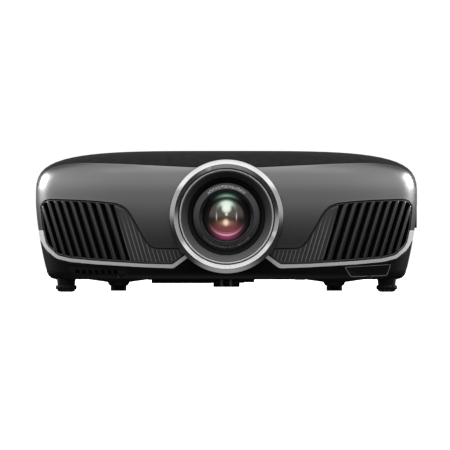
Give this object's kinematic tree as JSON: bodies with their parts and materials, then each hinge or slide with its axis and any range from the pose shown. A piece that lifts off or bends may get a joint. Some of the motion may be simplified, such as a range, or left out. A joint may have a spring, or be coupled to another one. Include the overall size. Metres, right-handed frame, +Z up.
{
  "type": "home cinema projector",
  "caption": "Wide home-cinema projector with a central motorised zoom lens in a bright ring, side air grilles, a lens shutter, and screw-adjustable front feet.",
  "frame": {"origin": "on the table, under the middle of the casing's box", "axes": "+Z up, the lens looks along -Y, +X towards the control side (right as seen from the front)"},
  "size_m": [0.52, 0.45, 0.192],
  "materials": {
    "case_black": "fine textured moulded plastic",
    "fascia_grey": "dark metallic paint on plastic, satin",
    "grille_black": "moulded plastic, satin",
    "silver_trim": "satin silver paint",
    "ring_silver": "fine satin metal finish",
    "well_black": "matt black",
    "barrel_black": "semi-matt black",
    "lens_glass": "coated optical glass",
    "window_dark": "dark infrared window",
    "button_grey": "satin plastic",
    "steel": "plain sheet and turned steel",
    "brass": "turned brass",
    "rubber": "soft rubber",
    "engine_cast": "die-cast, blasted",
    "prism_glass": "optical glass",
    "gear_white": "acetal",
    "fan_black": "moulded plastic",
    "filter_media": "pleated filter in a frame",
    "board_green": "circuit board with parts",
    "board_brown": "power board with parts",
    "lamp_housing": "heat-resistant plastic and glass reflector"
  },
  "bodies": {
    "root": {"base_case": "case_black", "top_case": "case_black", "front_fascia": "fascia_grey", "vent_grille_left": "grille_black", "vent_grille_right": "grille_black", "trim_strip_left": "silver_trim", "trim_strip_right": "silver_trim", "lens_ring": "ring_silver", "ring_accent": "ring_silver", "lens_funnel": "well_black", "front_vent_insert": "grille_black", "receiver_window": "window_dark", "rear_panel": "case_black", "connector_panel": "steel", "power_inlet": "grille_black", "control_panel": "grille_black", "rear_feet": "rubber", "case_screws": "steel", "threaded_inserts": "brass", "optical_engine": "engine_cast", "prism_block": "prism_glass", "shutter_rails": "steel", "exhaust_fan_frame": "fan_black", "intake_fan_frame": "fan_black", "main_board": "board_green", "power_board": "board_brown"},
    "lift_body": {"shift_frame_vertical": "steel"},
    "pan_body": {"shift_frame_horizontal": "steel", "lens_barrel": "barrel_black", "lens_elements": "lens_glass", "lens_motors": "steel"},
    "lift_screw": {"lift_screw": "steel"},
    "pan_screw": {"pan_screw": "steel"},
    "focus_ring": {"focus_ring": "barrel_black"},
    "zoom_ring": {"zoom_ring": "barrel_black"},
    "focus_pinion": {"focus_pinion": "gear_white"},
    "zoom_pinion": {"zoom_pinion": "gear_white"},
    "shutter_left": {"shutter_left": "well_black"},
    "shutter_right": {"shutter_right": "well_black"},
    "exhaust_rotor": {"exhaust_fan_rotor": "fan_black"},
    "intake_rotor": {"intake_fan_rotor": "fan_black"},
    "control_door": {"control_door": "case_black"},
    "lamp_cover": {"lamp_cover": "case_black", "lamp_cover_screw": "steel"},
    "lamp_unit": {"lamp_unit": "lamp_housing"},
    "filter_cover": {"filter_cover": "case_black", "filter_element": "filter_media"},
    "foot_pad_left": {"foot_pad_left": "rubber"},
    "foot_pad_right": {"foot_pad_right": "rubber"},
    "foot_screw_left": {"foot_screw_left": "case_black"},
    "foot_screw_right": {"foot_screw_right": "case_black"},
    "button_power": {"button_power": "button_grey"},
    "button_source": {"button_source": "button_grey"},
    "button_menu": {"button_menu": "button_grey"},
    "button_escape": {"button_escape": "button_grey"},
    "button_enter": {"button_enter": "button_grey"},
    "button_up": {"button_up": "button_grey"},
    "button_down": {"button_down": "button_grey"},
    "button_left": {"button_left": "button_grey"},
    "button_right": {"button_right": "button_grey"}
  },
  "joints": [
    {"name": "lens_lift", "type": "slide", "parent": "root", "child": "lift_body", "axis": [0, 0, 1], "range_m": [-0.009, 0.009]},
    {"name": "lens_pan", "type": "slide", "parent": "lift_body", "child": "pan_body", "axis": [1, 0, 0], "range_m": [-0.0075, 0.0075]},
    {"name": "lift_screw_turn", "type": "hinge", "parent": "root", "child": "lift_screw", "pos_m": [0.076, -0.075, 0.1], "axis": [0, 0, 1], "range_deg": [-1625, 1625]},
    {"name": "pan_screw_turn", "type": "hinge", "parent": "lift_body", "child": "pan_screw", "pos_m": [0, -0.083, 0.1626], "axis": [1, 0, 0], "range_deg": [-1355, 1355]},
    {"name": "focus_turn", "type": "hinge", "parent": "pan_body", "child": "focus_ring", "pos_m": [0, -0.1235, 0.1026], "axis": [0, 1, 0], "range_deg": [-60, 60]},
    {"name": "focus_pinion_turn", "type": "hinge", "parent": "pan_body", "child": "focus_pinion", "pos_m": [0.054, -0.1235, 0.1026], "axis": [0, 1, 0], "range_deg": [-300, 300]},
    {"name": "zoom_turn", "type": "hinge", "parent": "pan_body", "child": "zoom_ring", "pos_m": [0, -0.1051, 0.1026], "axis": [0, 1, 0], "range_deg": [-45, 45]},
    {"name": "zoom_pinion_turn", "type": "hinge", "parent": "pan_body", "child": "zoom_pinion", "pos_m": [-0.054, -0.1051, 0.1026], "axis": [0, 1, 0], "range_deg": [-225, 225]},
    {"name": "shutter_left_slide", "type": "slide", "parent": "root", "child": "shutter_left", "axis": [1, 0, 0], "range_m": [0, 0.0532]},
    {"name": "shutter_right_slide", "type": "slide", "parent": "root", "child": "shutter_right", "axis": [-1, 0, 0], "range_m": [0, 0.0532]},
    {"name": "exhaust_fan_spin", "type": "hinge", "parent": "root", "child": "exhaust_rotor", "pos_m": [-0.17, -0.118, 0.084], "axis": [0, 1, 0], "continuous": true},
    {"name": "intake_fan_spin", "type": "hinge", "parent": "root", "child": "intake_rotor", "pos_m": [0.15, 0.19, 0.07], "axis": [0, 1, 0], "continuous": true},
    {"name": "control_door_slide", "type": "slide", "parent": "root", "child": "control_door", "axis": [0, 1, 0], "range_m": [0, 0.08]},
    {"name": "button_power_press", "type": "slide", "parent": "root", "child": "button_power", "axis": [-1, 0, 0], "range_m": [0, 0.0008], "stiffness_N_per_m": 800, "springref_m": -0.0004},
    {"name": "button_source_press", "type": "slide", "parent": "root", "child": "button_source", "axis": [-1, 0, 0], "range_m": [0, 0.0008], "stiffness_N_per_m": 800, "springref_m": -0.0004},
    {"name": "button_menu_press", "type": "slide", "parent": "root", "child": "button_menu", "axis": [-1, 0, 0], "range_m": [0, 0.0008], "stiffness_N_per_m": 800, "springref_m": -0.0004},
    {"name": "button_escape_press", "type": "slide", "parent": "root", "child": "button_escape", "axis": [-1, 0, 0], "range_m": [0, 0.0008], "stiffness_N_per_m": 800, "springref_m": -0.0004},
    {"name": "button_enter_press", "type": "slide", "parent": "root", "child": "button_enter", "axis": [-1, 0, 0], "range_m": [0, 0.0008], "stiffness_N_per_m": 800, "springref_m": -0.0004},
    {"name": "button_up_press", "type": "slide", "parent": "root", "child": "button_up", "axis": [-1, 0, 0], "range_m": [0, 0.0008], "stiffness_N_per_m": 800, "springref_m": -0.0004},
    {"name": "button_down_press", "type": "slide", "parent": "root", "child": "button_down", "axis": [-1, 0, 0], "range_m": [0, 0.0008], "stiffness_N_per_m": 800, "springref_m": -0.0004},
    {"name": "button_left_press", "type": "slide", "parent": "root", "child": "button_left", "axis": [-1, 0, 0], "range_m": [0, 0.0008], "stiffness_N_per_m": 800, "springref_m": -0.0004},
    {"name": "button_right_press", "type": "slide", "parent": "root", "child": "button_right", "axis": [-1, 0, 0], "range_m": [0, 0.0008], "stiffness_N_per_m": 800, "springref_m": -0.0004},
    {"name": "lamp_cover_remove", "type": "slide", "parent": "root", "child": "lamp_cover", "axis": [-1, 0, 0], "range_m": [0, 0.13]},
    {"name": "lamp_unit_remove", "type": "slide", "parent": "root", "child": "lamp_unit", "axis": [-1, 0, 0], "range_m": [0, 0.0912]},
    {"name": "filter_cover_swing", "type": "hinge", "parent": "root", "child": "filter_cover", "pos_m": [0.15, 0.2233, 0.044], "axis": [-1, 0, 0], "range_deg": [0, 85]},
    {"name": "foot_left_extend", "type": "slide", "parent": "root", "child": "foot_pad_left", "axis": [0, 0, -1], "range_m": [0, 0.01505]},
    {"name": "foot_left_turn", "type": "hinge", "parent": "foot_pad_left", "child": "foot_screw_left", "pos_m": [-0.218, -0.118, 0.006], "axis": [0, 0, 1], "range_deg": [0, 4320]},
    {"name": "foot_right_extend", "type": "slide", "parent": "root", "child": "foot_pad_right", "axis": [0, 0, -1], "range_m": [0, 0.01505]},
    {"name": "foot_right_turn", "type": "hinge", "parent": "foot_pad_right", "child": "foot_screw_right", "pos_m": [0.218, -0.118, 0.006], "axis": [0, 0, 1], "range_deg": [0, 4320]}
  ],
  "couplings": [
    {"joint": "lift_screw_turn", "follows": "lens_lift", "rad_per_m": 3141.6},
    {"joint": "pan_screw_turn", "follows": "lens_pan", "rad_per_m": 3141.6},
    {"joint": "focus_turn", "follows": "focus_pinion_turn", "ratio": -0.2},
    {"joint": "zoom_turn", "follows": "zoom_pinion_turn", "ratio": -0.2},
    {"joint": "shutter_right_slide", "follows": "shutter_left_slide", "ratio": 1},
    {"joint": "lamp_unit_remove", "follows": "lamp_cover_remove", "ratio": 0.7},
    {"joint": "foot_left_extend", "follows": "foot_left_turn", "m_per_rad": 0.00019894},
    {"joint": "foot_right_extend", "follows": "foot_right_turn", "m_per_rad": 0.00019894}
  ]
}
